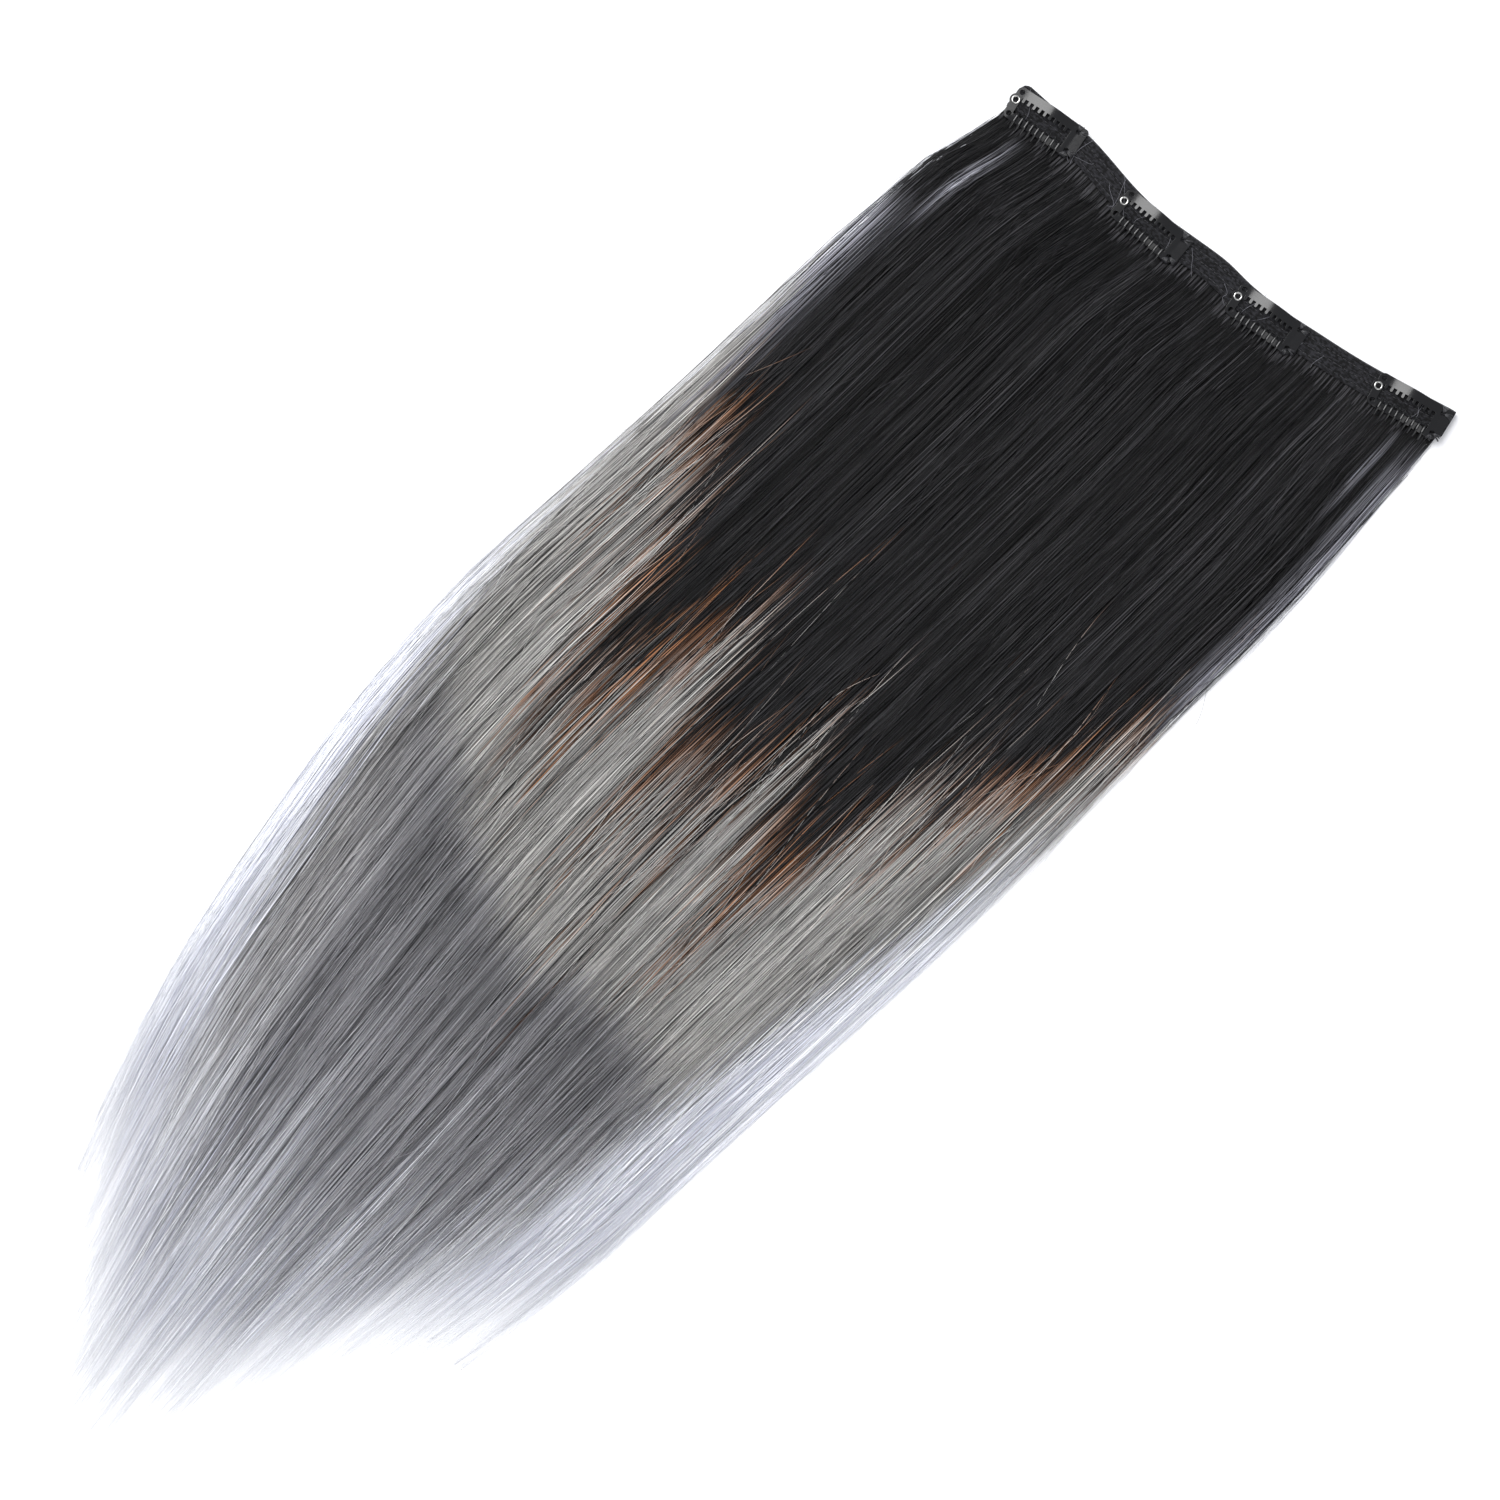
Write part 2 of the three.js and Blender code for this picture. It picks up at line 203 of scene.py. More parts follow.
def add_piece(name, points, faces, material, fields=None):
    """A mesh from arrays, with one number per point in each field, that rides on the CAD root."""
    mesh = bpy.data.meshes.new(name)
    mesh.from_pydata(points, [], faces)
    for field, values in (fields or {}).items():
        layer = mesh.attributes.new(field, "FLOAT", "POINT")
        layer.data.foreach_set("value", np.asarray(values, np.float32).ravel())
    mesh.polygons.foreach_set("use_smooth", [True] * len(mesh.polygons))
    mesh.materials.append(material)
    piece = bpy.data.objects.new(name, mesh)
    bpy.context.scene.collection.objects.link(piece)
    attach(piece, "root")
    return piece


def grid_faces(rows, columns, closed):
    """Quads over rows of points; closed joins the last column to the first."""
    row = np.arange(rows - 1)[:, None] * columns
    column = np.arange(columns if closed else columns - 1)[None, :]
    after = (column + 1) % columns
    quads = np.stack(
        np.broadcast_arrays(row + column, row + after, row + columns + after, row + columns + column), axis=-1
    )
    return quads.reshape(-1, 4).tolist()


# The tape
# A woven black band, folded lengthwise over the roots of the hair, with the fold away from the hair
# and both hems at the hair. It puckers a little between its rows of stitches.
tape_width = 11 * mm
tape_wall = 0.8 * mm
tape_stations = 210
tape_low, tape_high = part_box("weft_tape")
tape_height = tape_high.z - tape_low.z
fold_depth = 1.6 * mm
stitch_rows = (1.5 * mm, 4.5 * mm, 7.6 * mm)

# The line of the fold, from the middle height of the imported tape, and where the hair comes out
packed_tape = np.array([vertex.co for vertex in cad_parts["weft_tape"].data.vertices])
at_fold = packed_tape[abs(packed_tape[:, 2] - tape_height / 2) < 0.05 * mm]
at_fold = at_fold[np.argsort(at_fold[:, 0])]
fold_x = np.linspace(at_fold[0, 0], at_fold[-1, 0], tape_stations)
fold_y = np.interp(fold_x, at_fold[:, 0], at_fold[:, 1])
fold_y = np.convolve(np.pad(fold_y, 3, mode="edge"), np.ones(7) / 7, mode="valid")


def mouth_height(x):
    """Row-frame y of the hem that the hair comes out of."""
    return np.interp(x, fold_x, fold_y) - tape_width


# Half of the folded section, from the hem to the fold, and how high the cloth swells between stitches
cloth_stops = 20
middle_of_wall = tape_height / 2 - tape_wall / 2
across_cloth = np.linspace(0, 1, cloth_stops)
flat_part = tape_width - fold_depth
section_away = []
section_up = []
for share in across_cloth:
    run = share * (flat_part + fold_depth * math.pi / 2)
    if run <= flat_part:
        from_hem = run
        nearest = min(abs(from_hem - row) for row in stitch_rows)
        swell = 0.16 * mm * min(nearest / (1.2 * mm), 1) - 0.12 * mm
        section_away.append(-tape_width + from_hem)
        section_up.append(middle_of_wall + swell)
    else:
        angle = (run - flat_part) / (fold_depth * math.pi / 2) * math.pi / 2
        section_away.append(-fold_depth + (fold_depth - tape_wall / 2) * math.sin(angle))
        section_up.append((middle_of_wall + 0.04 * mm) * math.cos(angle))
away = np.array(section_away + section_away[-2::-1])
up = np.array(section_up + [-value for value in section_up[-2::-1]])

# Which way is out of the fold at each station, how far along it is, and how much the cloth puckers
direction = np.gradient(np.stack([fold_x, fold_y], axis=1), axis=0)
direction /= np.linalg.norm(direction, axis=1, keepdims=True)
outward = np.stack([-direction[:, 1], direction[:, 0]], axis=1)
run_along = np.concatenate([[0], np.cumsum(np.hypot(np.diff(fold_x), np.diff(fold_y)))])
pucker = 0.10 * mm * np.sin(run_along / (7.3 * mm)) + 0.07 * mm * np.sin(run_along / (2.9 * mm) + 1.3)

# The corner by the fold at the left end is rounded
corner_radius = 3.2 * mm
into_corner = np.clip(corner_radius - (fold_x - fold_x[0]), 0, corner_radius)
drawn_in = corner_radius - np.sqrt(corner_radius ** 2 - into_corner ** 2)
away = -tape_width + (away + tape_width) * (1 - drawn_in[:, None] / tape_width)
tape_points = np.empty((tape_stations, len(up), 3))
tape_points[..., 0] = fold_x[:, None] + outward[:, 0, None] * away
tape_points[..., 1] = fold_y[:, None] + outward[:, 1, None] * away
free_share = np.clip(-away / tape_width, 0, 1) * (up > 0)
tape_points[..., 2] = tape_height / 2 + up + pucker[:, None] * free_share - 0.05 * mm * free_share
run_across = np.concatenate([[0], np.cumsum(np.hypot(np.diff(away[-1]), np.diff(up)))])

tape_material, tape_place = new_material("woven_tape")
along_thread = tape_place.attribute("along")
across_thread = tape_place.attribute("across")
warp_pitch = 0.62 * mm
weft_pitch = 0.8 * mm
warp = across_thread.maths("SINE", across_thread * (2 * math.pi / warp_pitch))
weft = along_thread.maths("SINE", along_thread * (2 * math.pi / weft_pitch) + warp * 1.2)
weave = warp * 0.5 + weft * 0.5
fuzz = tape_place.noise(1300.0, 5.0, (0.5, 1, 1)).rise(0.36, 0.66)
worn_patches = tape_place.noise(130.0, 3.0)
cloth_light = (weave * 0.12 + fuzz * 0.9 + worn_patches * 0.4 - 0.28).held()
close_material(
    tape_place,
    {
        "Base Color": cloth_light.mix((0.0006, 0.0006, 0.0009, 1), (0.023, 0.023, 0.027, 1)),
        "Roughness": 0.85,
        "Specular IOR Level": 0.25,
        "Sheen Weight": 0.04,
        "Sheen Roughness": 0.5,
        "Normal": (weave * 0.5 + fuzz * 1.0).bump(0.2 * mm, 0.9),
    },
)
tape = add_piece(
    "weft_tape_cloth",
    tape_points.reshape(-1, 3),
    grid_faces(tape_stations, len(up), False),
    tape_material,
    {
        "along": np.repeat(run_along[:, None], len(up), axis=1),
        "across": np.repeat(run_across[None, :], tape_stations, axis=0),
    },
)
bpy.context.view_layer.objects.active = tape
wall = tape.modifiers.new("wall", "SOLIDIFY")
wall.thickness = tape_wall
wall.offset = 0
with bpy.context.temp_override(object=tape):
    bpy.ops.object.modifier_apply(modifier="wall")
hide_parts("weft_tape")

# The hair
# Straight strands sewn in a row at the tape, black for the first third, then bleached and dyed grey,
# with a darker cool band and silver tips. They lie in a flat fan, thickest below the tape.
# The outline goes by the distance below the tape's ends, as shares of the length and of half the tape.
hair_length = 606 * mm
half_tape = 101.5 * mm
hair_top_y = tape_high.y
outline_down = (0, 0.05, 0.15, 0.25, 0.35, 0.45, 0.55, 0.65, 0.75, 0.85, 1)
outline_left = (-1, -1.09, -1.2, -1.29, -1.4, -1.52, -1.57, -1.555, -1.52, -1.41, -1.17)
outline_right = (1, 0.985, 0.945, 0.85, 0.77, 0.68, 0.57, 0.455, 0.355, 0.18, -0.13)
ends_across = (0, 0.12, 0.26, 0.42, 0.6, 0.8, 1)
ends_length = (0.89, 0.965, 1.02, 1.03, 0.995, 0.915, 0.845)
# Height of the hair over the table by the distance from the hem, inside the tape at first
rise_distance = np.array((-3, 1, 9, 27, 60, 120, 200, 290, 380, 460, 530, 570, 600)) * mm
rise_top = np.array((2.7, 2.8, 3.4, 5, 7.2, 8, 7.6, 6.7, 5.6, 4.4, 3.3, 2.4, 1.6)) * mm
rise_bottom = np.array((1.4, 1.3, 0.3) + (0.1,) * 10) * mm
# How deep the roots sit in the tape, over what distance the fan opens, and how wide its rounded edge is
tuck = 3 * mm
opening = 30 * mm
rounded_edge = 14 * mm


def side_at(y, column):
    """Smoothed x of a side of the lying hair."""
    down = (hair_top_y - y) / hair_length
    blur = 0.035
    spots = [np.interp(down + shift, outline_down, column) for shift in (-blur, 0, blur)]
    return half_tape * (spots[0] + spots[1] * 2 + spots[2]) / 4


def tip_height(across):
    return hair_top_y - hair_length * np.interp(across, ends_across, ends_length)


def lay_hair(across, fall, reach, level):
    """Where strands run: across and level vary along them, fall goes from root to tip."""
    root_x = (2 * across[:, :1] - 1) * (half_tape - 0.4 * mm)
    mouth = mouth_height(root_x)
    tip = mouth + (tip_height(across[:, -1:]) - mouth) * reach[:, None]
    y = mouth + tuck + (tip - mouth - tuck) * fall
    left = side_at(y, outline_left)
    right = side_at(y, outline_right)
    settled = np.clip((mouth - y) / opening, 0, 1)
    x = root_x * (1 - settled) + (left + (right - left) * across) * settled
    below = mouth - y
    top = np.interp(below, rise_distance, rise_top)
    bottom = np.interp(below, rise_distance, rise_bottom)
    to_edge = np.clip(np.minimum(x - left, right - x) / rounded_edge, 0, 1)
    fullness = np.where(below < 2 * mm, 1, np.sqrt(1 - (1 - to_edge) ** 2))
    z = bottom + (top - bottom) * level * (0.12 + 0.88 * fullness)
    return np.stack([x, y, z], axis=-1)


# The dye, by the place of a strand across the hair: how far down its length it stays black,
# where the dark cool band begins and how strong it is, and where the hair turns silver
black_across = (0, 0.04, 0.08, 0.13, 0.2, 0.3, 0.4, 0.5, 0.6, 0.7, 0.76, 0.8, 0.88, 0.94, 1)
black_ends = (0.18, 0.245, 0.29, 0.315, 0.405, 0.395, 0.37, 0.45, 0.43, 0.545, 0.475, 0.43, 0.4, 0.345, 0.34)
cool_across = (0, 0.1, 0.25, 0.4, 0.52, 0.62, 0.75, 0.85, 0.93, 1)
cool_starts = (0.52, 0.53, 0.545, 0.575, 0.6, 0.61, 0.655, 0.695, 0.74, 0.8)
cool_depths = (0, 0.5, 0.95, 1, 1, 1, 1, 0.8, 0.15, 0)
silver_across = (0, 0.03, 0.07, 0.12, 0.2, 0.3, 0.4, 0.5, 0.6, 0.7, 0.8, 0.88, 0.94, 1)
silver_starts = (0.47, 0.56, 0.72, 0.83, 0.83, 0.82, 0.84, 0.85, 0.87, 0.92, 0.91, 0.77, 0.58, 0.5)

hair_material, hair_place = new_material("ombre_hair")
fall = hair_place.attribute("fall")
tone = hair_place.attribute("tone")
root_end = hair_place.attribute("root_end")
cool_start = hair_place.attribute("cool_start")
cool_depth = hair_place.attribute("cool_depth")
copper = hair_place.attribute("copper")
silver = hair_place.attribute("silver")
own_spot = {"X": tone * 61.0, "Y": fall * 16.0, "Z": root_end * 50.0}
own_place = hair_place.node("ShaderNodeCombineXYZ", None, own_spot)
shade = (tone * 0.8 + own_place.noise(1.0) * 0.6 - 0.2).held()
black_hair = (shade * shade * shade).mix((0.0006, 0.0006, 0.0008, 1), (0.046, 0.045, 0.049, 1))
warm_grey = shade.mix((0.035, 0.034, 0.033, 1), (0.62, 0.607, 0.585, 1))
cool_grey = shade.mix((0.04, 0.04, 0.044, 1), (0.45, 0.447, 0.475, 1))
band_grey = shade.mix((0.025, 0.025, 0.027, 1), (0.30, 0.299, 0.314, 1))
silver_hair = shade.mix((0.60, 0.615, 0.72, 1), (0.97, 0.98, 1.0, 1))
past_root = fall.rise(root_end - 0.016, root_end + 0.022)
in_cool = fall.rise(cool_start - 0.02, cool_start + 0.025) * cool_depth
in_silver = fall.rise(silver - 0.12, silver + 0.06)
in_band = in_cool * (1 - fall.rise(cool_start + 0.015, cool_start + 0.12))
grey = in_cool.mix(warm_grey, cool_grey)
grey = in_band.mix(grey, band_grey)
grey = in_silver.mix(grey, silver_hair)
white_tip = fall.rise(0.88, 0.96) * 0.85
grey = white_tip.mix(grey, (0.96, 0.97, 1.0, 1))
hair_colour = past_root.mix(black_hair, grey)
copper_tip = fall.rise(root_end - 0.03, root_end + 0.002)
copper_here = copper_tip * (1 - fall.rise(root_end + 0.008, root_end + 0.042)) * copper
copper_brown = shade.mix((0.10, 0.038, 0.014, 1), (0.58, 0.235, 0.08, 1))
hair_colour = copper_here.mix(hair_colour, copper_brown)
# Painted light: black strands are mixed toward a pale lilac grey where this field is set, as a painted sheen
# and see-through.
painted_light_mix = hair_place.attribute("pale") * (1 - past_root)
hair_colour = painted_light_mix.mix(hair_colour, (0.55, 0.55, 0.62, 1))
close_material(hair_place, {"Base Color": hair_colour, "Roughness": 0.42, "Specular IOR Level": 0.18})

# The locks and, in each lock, the clumps: their places, and how each differs in tone, in where its
# black ends, in height, in how far its strands gather and in length
chance = np.random.default_rng(11)
lock_count = 17
lock_inner = (np.arange(1, lock_count) + chance.uniform(-0.3, 0.3, lock_count - 1)) / lock_count
lock_edges = np.concatenate([[0], lock_inner, [1]])
lock_tone = chance.normal(0, 0.045, lock_count)
lock_dye = chance.normal(0, 0.022, lock_count)
clump_count = 170
clump_home = (np.arange(clump_count) + chance.uniform(0.1, 0.9, clump_count)) / clump_count
clump_tip = np.clip(clump_home + chance.normal(0, 0.012, clump_count), 0.004, 0.996)
clump_tone = chance.normal(0, 0.075, clump_count)
clump_dye = chance.normal(0, 0.016, clump_count)
clump_dye += (chance.random(clump_count) < 0.14) * chance.uniform(0.03, 0.08, clump_count)
clump_late = np.clip(chance.normal(0.3, 0.3, clump_count), 0.03, 0.9)
clump_lift = chance.uniform(-0.10, 0.06, clump_count)
clump_grip = chance.uniform(0.05, 0.45, clump_count)
clump_reach = 1 - abs(chance.normal(0, 0.02, clump_count))

# Copper patches where the black ends, and places at the sides where the black strands are painted pale
# as painted light, a painted sheen and the floor painted in as if seen through thin hair: their place across,
# half their width, and where they start and end down the length
copper_across = (
    0.02, 0.09, 0.15, 0.2, 0.255, 0.3, 0.335, 0.4, 0.455,
    0.5, 0.56, 0.62, 0.68, 0.72, 0.79, 0.86, 0.93, 0.98,
)
copper_depths = (
    0, 0.75, 0.1, 0.85, 0.2, 1, 0.9, 0.05, 0.85,
    0.15, 0.7, 0.05, 0.75, 0.95, 0.1, 0.5, 0.75, 0.3,
)
painted_light_places = (
    (0.066, 0.016, 0.018, 0.11),
    (0.938, 0.010, 0.02, 0.09),
    (0, 0.065, 0.1, 0.36),
    (1, 0.04, 0.03, 0.3),
)


def painted_light_at(across, fall):
    """How strongly the black strands are painted pale at these places, as painted light."""
    painted_light_here = np.zeros(np.broadcast(across, fall).shape)
    for middle, half_width, start, end in painted_light_places:
        beside = np.clip(1 - abs(across - middle) / half_width, 0, 1)
        along = np.clip(np.minimum(fall - start, end - fall) / 0.025, 0, 1)
        painted_light_here = np.maximum(painted_light_here, beside * along)
    return painted_light_here


def dye_fields(across, clump, loose):
    """What the hair material reads, for strands at these places across."""
    lock = np.clip(np.searchsorted(lock_edges, across) - 1, 0, lock_count - 1)
    count = len(across)
    shift = lock_dye[lock] + clump_dye[clump]
    late = (chance.random(count) < clump_late[clump]) * chance.uniform(0.015, 0.1, count) * loose
    early = -0.012 * loose
    black_end = np.interp(across, black_across, black_ends) + shift + late + early
    cool_start = np.interp(across, cool_across, cool_starts) + shift * 0.12
    silver_start = np.interp(across, silver_across, silver_starts) + shift
    return {
        "tone": 0.5 + clump_tone[clump] + lock_tone[lock] + chance.normal(0, 0.335 * loose, count),
        "root_end": black_end + chance.normal(0, 0.012 * loose, count),
        "cool_start": cool_start + chance.normal(0, 0.006 * loose, count),
        "cool_depth": np.interp(across, cool_across, cool_depths) + chance.normal(0, 0.12 * loose, count),
        "copper": np.interp(across, copper_across, copper_depths) * chance.uniform(0.7, 1, count),
        "silver": silver_start + chance.normal(0, 0.035 * loose, count),
    }


def nearest_clump(across):
    return np.abs(np.asarray(across)[:, None] - clump_home[None, :]).argmin(axis=1)


# The body of the hair
# One mass with a ridge for each clump, a little inside the strands, which closes the hair below them.
body_columns = 320
body_rows = 42
body_inset = 0.045
body_end = 0.7
body_across = np.linspace(body_inset, 1 - body_inset, body_columns)
body_fall = np.linspace(0, 1, body_rows) ** 0.9
body_clump = nearest_clump(body_across)
ridge = abs(body_across - clump_home[body_clump]) * clump_count
body_grid = np.repeat(body_across[:, None], body_rows, axis=1)
body_reach = body_end + 0.02 * np.sin(body_across * 90)
ridge_level = 0.78 + clump_lift[body_clump] - 0.06 * np.minimum(ridge, 1)
ridge_level = np.repeat(ridge_level[:, None], body_rows, axis=1)
top_side = lay_hair(body_grid, body_fall[None, :], body_reach, ridge_level)
under_side = lay_hair(body_grid, body_fall[None, :], body_reach, ridge_level * 0 + 0.06)
body_ring = np.concatenate([top_side, under_side[::-1]], axis=0).transpose(1, 0, 2)
body_faces = grid_faces(body_rows, 2 * body_columns, True)
last_row = (body_rows - 1) * 2 * body_columns
for column in range(body_columns - 1):
    opposite = 2 * body_columns - 1 - column
    body_faces.append((opposite, opposite - 1, column + 1, column))
    body_faces.append(tuple(last_row + place for place in (column, column + 1, opposite - 1, opposite)))
body_fields = dye_fields(body_across, body_clump, 0)
for name, values in body_fields.items():
    body_fields[name] = np.repeat(np.concatenate([values, values[::-1]])[None, :], body_rows, axis=0)
# Painted shade: the body is coloured darker than the strands, as shade in the gaps between them.
body_fields["tone"] = body_fields["tone"] - 0.4
body_fields["fall"] = np.repeat((body_fall * body_end)[:, None], 2 * body_columns, axis=1)
hair_body = add_piece("hair_body", body_ring.reshape(-1, 3), body_faces, hair_material, body_fields)
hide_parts("hair")


def strand_mesh(name, routes, radii, fields, material, sides=3):
    """Joined tapering strands: routes is strands x stops x place, radii strands x stops."""
    count, stops = radii.shape
    ahead = np.gradient(routes, axis=1)
    ahead /= np.linalg.norm(ahead, axis=2, keepdims=True)
    side = np.cross(ahead, (0.03, 0.01, 1.0))
    side /= np.linalg.norm(side, axis=2, keepdims=True)
    lift = np.cross(side, ahead)
    turn = chance.uniform(0, 2 * math.pi, (count, 1, 1))
    corners = [
        routes + (np.cos(turn + angle) * side + np.sin(turn + angle) * lift) * radii[..., None]
        for angle in np.arange(sides) * 2 * math.pi / sides
    ]
    points = np.stack(corners, axis=2).reshape(-1, 3)
    first = (np.arange(count) * stops * sides)[:, None, None]
    row = (np.arange(stops - 1) * sides)[None, :, None]
    corner = np.arange(sides)[None, None, :]
    here = first + row + corner
    after = first + row + (corner + 1) % sides
    quads = np.stack([here, here + sides, after + sides, after], axis=-1).reshape(-1, 4).tolist()
    start = (np.arange(count) * stops * sides)[:, None] + np.arange(sides)[None, :]
    end = start[:, ::-1] + (stops - 1) * sides
    spread = {}
    for field, values in fields.items():
        by_stop = np.broadcast_to(values[:, None] if values.ndim == 1 else values, (count, stops))
        spread[field] = np.repeat(by_stop[..., None], sides, axis=2)
    piece = add_piece(name, points, quads + start.tolist() + end.tolist(), material, spread)

    # A map for baking: a narrow column for each few strands, with their roots at the bottom
    columns = min(count, 400)
    column = (np.arange(count) * columns // count)[:, None, None]
    corner = np.arange(sides)[None, None, :]
    slant = 0.4 * (corner == 1)
    map_u = (column + 0.1 + 0.8 * corner / (sides - 1)) / columns + np.zeros((1, stops, 1))
    map_v = (np.arange(stops)[None, :, None] + slant) / (stops - 0.6) + np.zeros((count, 1, 1))
    map_places = np.stack([map_u, map_v], axis=-1).reshape(-1, 2)
    loop_points = np.empty(len(piece.data.loops), np.int32)
    piece.data.loops.foreach_get("vertex_index", loop_points)
    piece.data.uv_layers.new(name="OFBake").uv.foreach_set("vector", map_places[loop_points].ravel())
    return piece


# The strands
# Four layers of bundled hairs, from those on the table to those that lie on top.
strand_layers = ((700, 0.0, 0.6), (1400, 0.5, 0.88), (1550, 0.74, 0.97), (1550, 0.85, 1.06))
strand_distance = mm * np.array(
    [-3, 1, 8, 26, 50, 80, 110, 140, 172, 205, 238, 272, 306, 340, 375, 410, 445, 480, 520, 560, 603]
)
for layer, (count, lowest, highest) in enumerate(strand_layers):
    root = (np.arange(count) + chance.uniform(0, 1, count)) / count
    clump = nearest_clump(root)
    tip = root + (clump_tip[clump] - root) * clump_grip[clump] + chance.normal(0, 0.008, count)
    straying = chance.random(count) < 0.22
    tip = tip + straying * chance.normal(0, 0.04, count)
    distance = strand_distance + chance.uniform(-0.4, 0.4, (count, 1)) * np.gradient(strand_distance)
    distance[:, :3] = strand_distance[:3]
    distance[:, -1] = strand_distance[-1]
    fall_here = (distance + tuck) / hair_length
    loose = np.where(chance.random(count) < 0.3, 0.009, 0.003)[:, None]
    swing = chance.normal(0, 1, (count, 1)) * loose * np.minimum(fall_here * 4, 1)
    wave = swing * np.sin(fall_here * chance.uniform(3, 12, (count, 1)) + chance.uniform(0, 6, (count, 1)))
    across_here = root[:, None] + (tip - root)[:, None] * fall_here ** 1.3 + wave
    across_here = np.clip(across_here, -0.012, 1.012)
    short = chance.random(count) < 0.72
    reach = clump_reach[clump] - chance.exponential(0.035, count) - short * chance.uniform(0, 0.3, count)
    hump = 0.10 * (1 - np.minimum(np.abs(root - clump_home[clump]) * clump_count * 1.6, 1)) * (layer > 1)
    level = chance.uniform(lowest, highest, (count, 1)) + clump_lift[clump][:, None] * (layer > 0)
    level = np.clip(level + hump[:, None] * np.minimum(fall_here * 5, 1), 0, 1.1)
    level[:, :2] = np.clip(level[:, :2], 0, 1)
    routes = lay_hair(across_here, fall_here, reach, level)
    thinning = np.interp(fall_here, (0, 0.5, 0.75, 0.9, 1), (1, 0.95, 0.72, 0.45, 0.12))
    radii = chance.uniform(0.12, 0.26, (count, 1)) * mm * thinning
    fields = dye_fields(root, clump, 1)
    # Painted shade: each strand is darker over its first centimetre or so below the hem, as shade under the
    # tape and root ridges.
    fields["tone"] = fields["tone"][:, None] - 0.9 * np.interp(fall_here, (0.008, 0.022), (1, 0))
    fields["fall"] = fall_here * reach[:, None]
    # Painted light: each strand takes a random share of the painted sheen at the pale places.
    catching = chance.uniform(-0.2, 1.1, (count, 1)).clip(0, 1)
    fields["pale"] = painted_light_at(across_here, fields["fall"]) * catching
    strand_mesh(f"hair_strands_{layer + 1}", routes, radii, fields, hair_material)

# Wisps along the two sides
# Thin hairs that leave the smooth outline a little, and feather it.
wisp_count = 900
wisp_stops = 12
left_side = chance.random(wisp_count) < 0.5
from_side = chance.exponential(0.012, wisp_count) - 0.006
root = np.where(left_side, from_side, 1 - from_side)
share = np.linspace(0, 1, wisp_stops)[None, :]
begin = chance.uniform(0.01, 0.7, wisp_count)[:, None]
end = np.clip(begin + chance.uniform(0.12, 0.5, (wisp_count, 1)), 0, 1)
fall_here = begin + (end - begin) * share
leaving = chance.normal(0.007, 0.009, (wisp_count, 1)).clip(-0.02, 0.024) * share ** 2
ripple = chance.normal(0, 0.003, (wisp_count, 1)) * np.sin(share * chance.uniform(2, 6, (wisp_count, 1)))
leaving = leaving + ripple
across_here = root[:, None] - np.where(left_side, 1, -1)[:, None] * leaving
routes = lay_hair(across_here, fall_here, np.ones(wisp_count), chance.uniform(0.2, 1.0, (wisp_count, 1)))
radii = chance.uniform(0.06, 0.11, (wisp_count, 1)) * mm * np.interp(share, (0, 0.3, 1), (0.8, 1, 0.3))
fields = dye_fields(root, nearest_clump(root), 1)
fields["tone"] = fields["tone"] + 0.3
pale_wisps = chance.random(wisp_count) < 0.5
fields["root_end"] = fields["root_end"] - 0.5 * pale_wisps
fields["silver"] = fields["silver"] - 0.5 * pale_wisps
fields["fall"] = fall_here
strand_mesh("hair_wisps", routes, radii, fields, hair_material)

# Flyaways
# Fine single hairs that cross the smooth surface in shallow curves.
flyaway_count = 1150
flyaway_stops = 14
share = np.linspace(0, 1, flyaway_stops)[None, :]
begin = chance.uniform(0.0, 0.86, (flyaway_count, 1))
fall_here = np.clip(begin + chance.uniform(0.05, 0.25, (flyaway_count, 1)) * share, 0, 0.985)
root = chance.uniform(0.0, 1.0, flyaway_count)
bow = chance.normal(0, 0.014, (flyaway_count, 1)) * np.sin(math.pi * share)
drift = chance.normal(0, 0.026, (flyaway_count, 1)) * share
level = 1.07 + 0.12 * np.sin(math.pi * share) * chance.uniform(0, 1, (flyaway_count, 1))
routes = lay_hair(root[:, None] + bow + drift, fall_here, np.ones(flyaway_count), level)
radii = chance.uniform(0.06, 0.12, (flyaway_count, 1)) * mm * np.interp(share, (0, 0.5, 1), (0.5, 1, 0.4))
fields = dye_fields(root, nearest_clump(root), 1)
fields["tone"] = fields["tone"] + 0.45
fields["root_end"] = fields["root_end"] - chance.exponential(0.03, flyaway_count)
fields["fall"] = fall_here
strand_mesh("hair_flyaways", routes, radii, fields, hair_material)

# Stray hairs over the tape
# A few short ones lie across it, and poke out past the fold.
stray_count = 16
share = np.linspace(0, 1, 14)[None, :]
x = chance.uniform(-0.95, 0.95, (stray_count, 1)) * half_tape
x = x + chance.normal(0, 5, (stray_count, 1)) * mm * share
x = x + chance.normal(0, 1.5, (stray_count, 1)) * mm * np.sin(share * chance.uniform(2, 7, (stray_count, 1)))
y = mouth_height(x) + (share * chance.uniform(5, 15, (stray_count, 1)) - 2) * mm
z = tape_high.z + (0.3 + 0.6 * share * chance.random((stray_count, 1))) * mm
radii = np.full(x.shape, 0.06 * mm)
fields = dye_fields(np.full(stray_count, 0.5), np.zeros(stray_count, int), 1)
fields["tone"] = fields["tone"] + 1
fields["fall"] = np.zeros(stray_count)
# The strays are painted partly pale, a painted highlight where they lie over the black tape.
fields["pale"] = np.full(stray_count, 0.35)
strand_mesh("hair_strays", np.stack([x, y, z], axis=-1), radii, fields, hair_material)

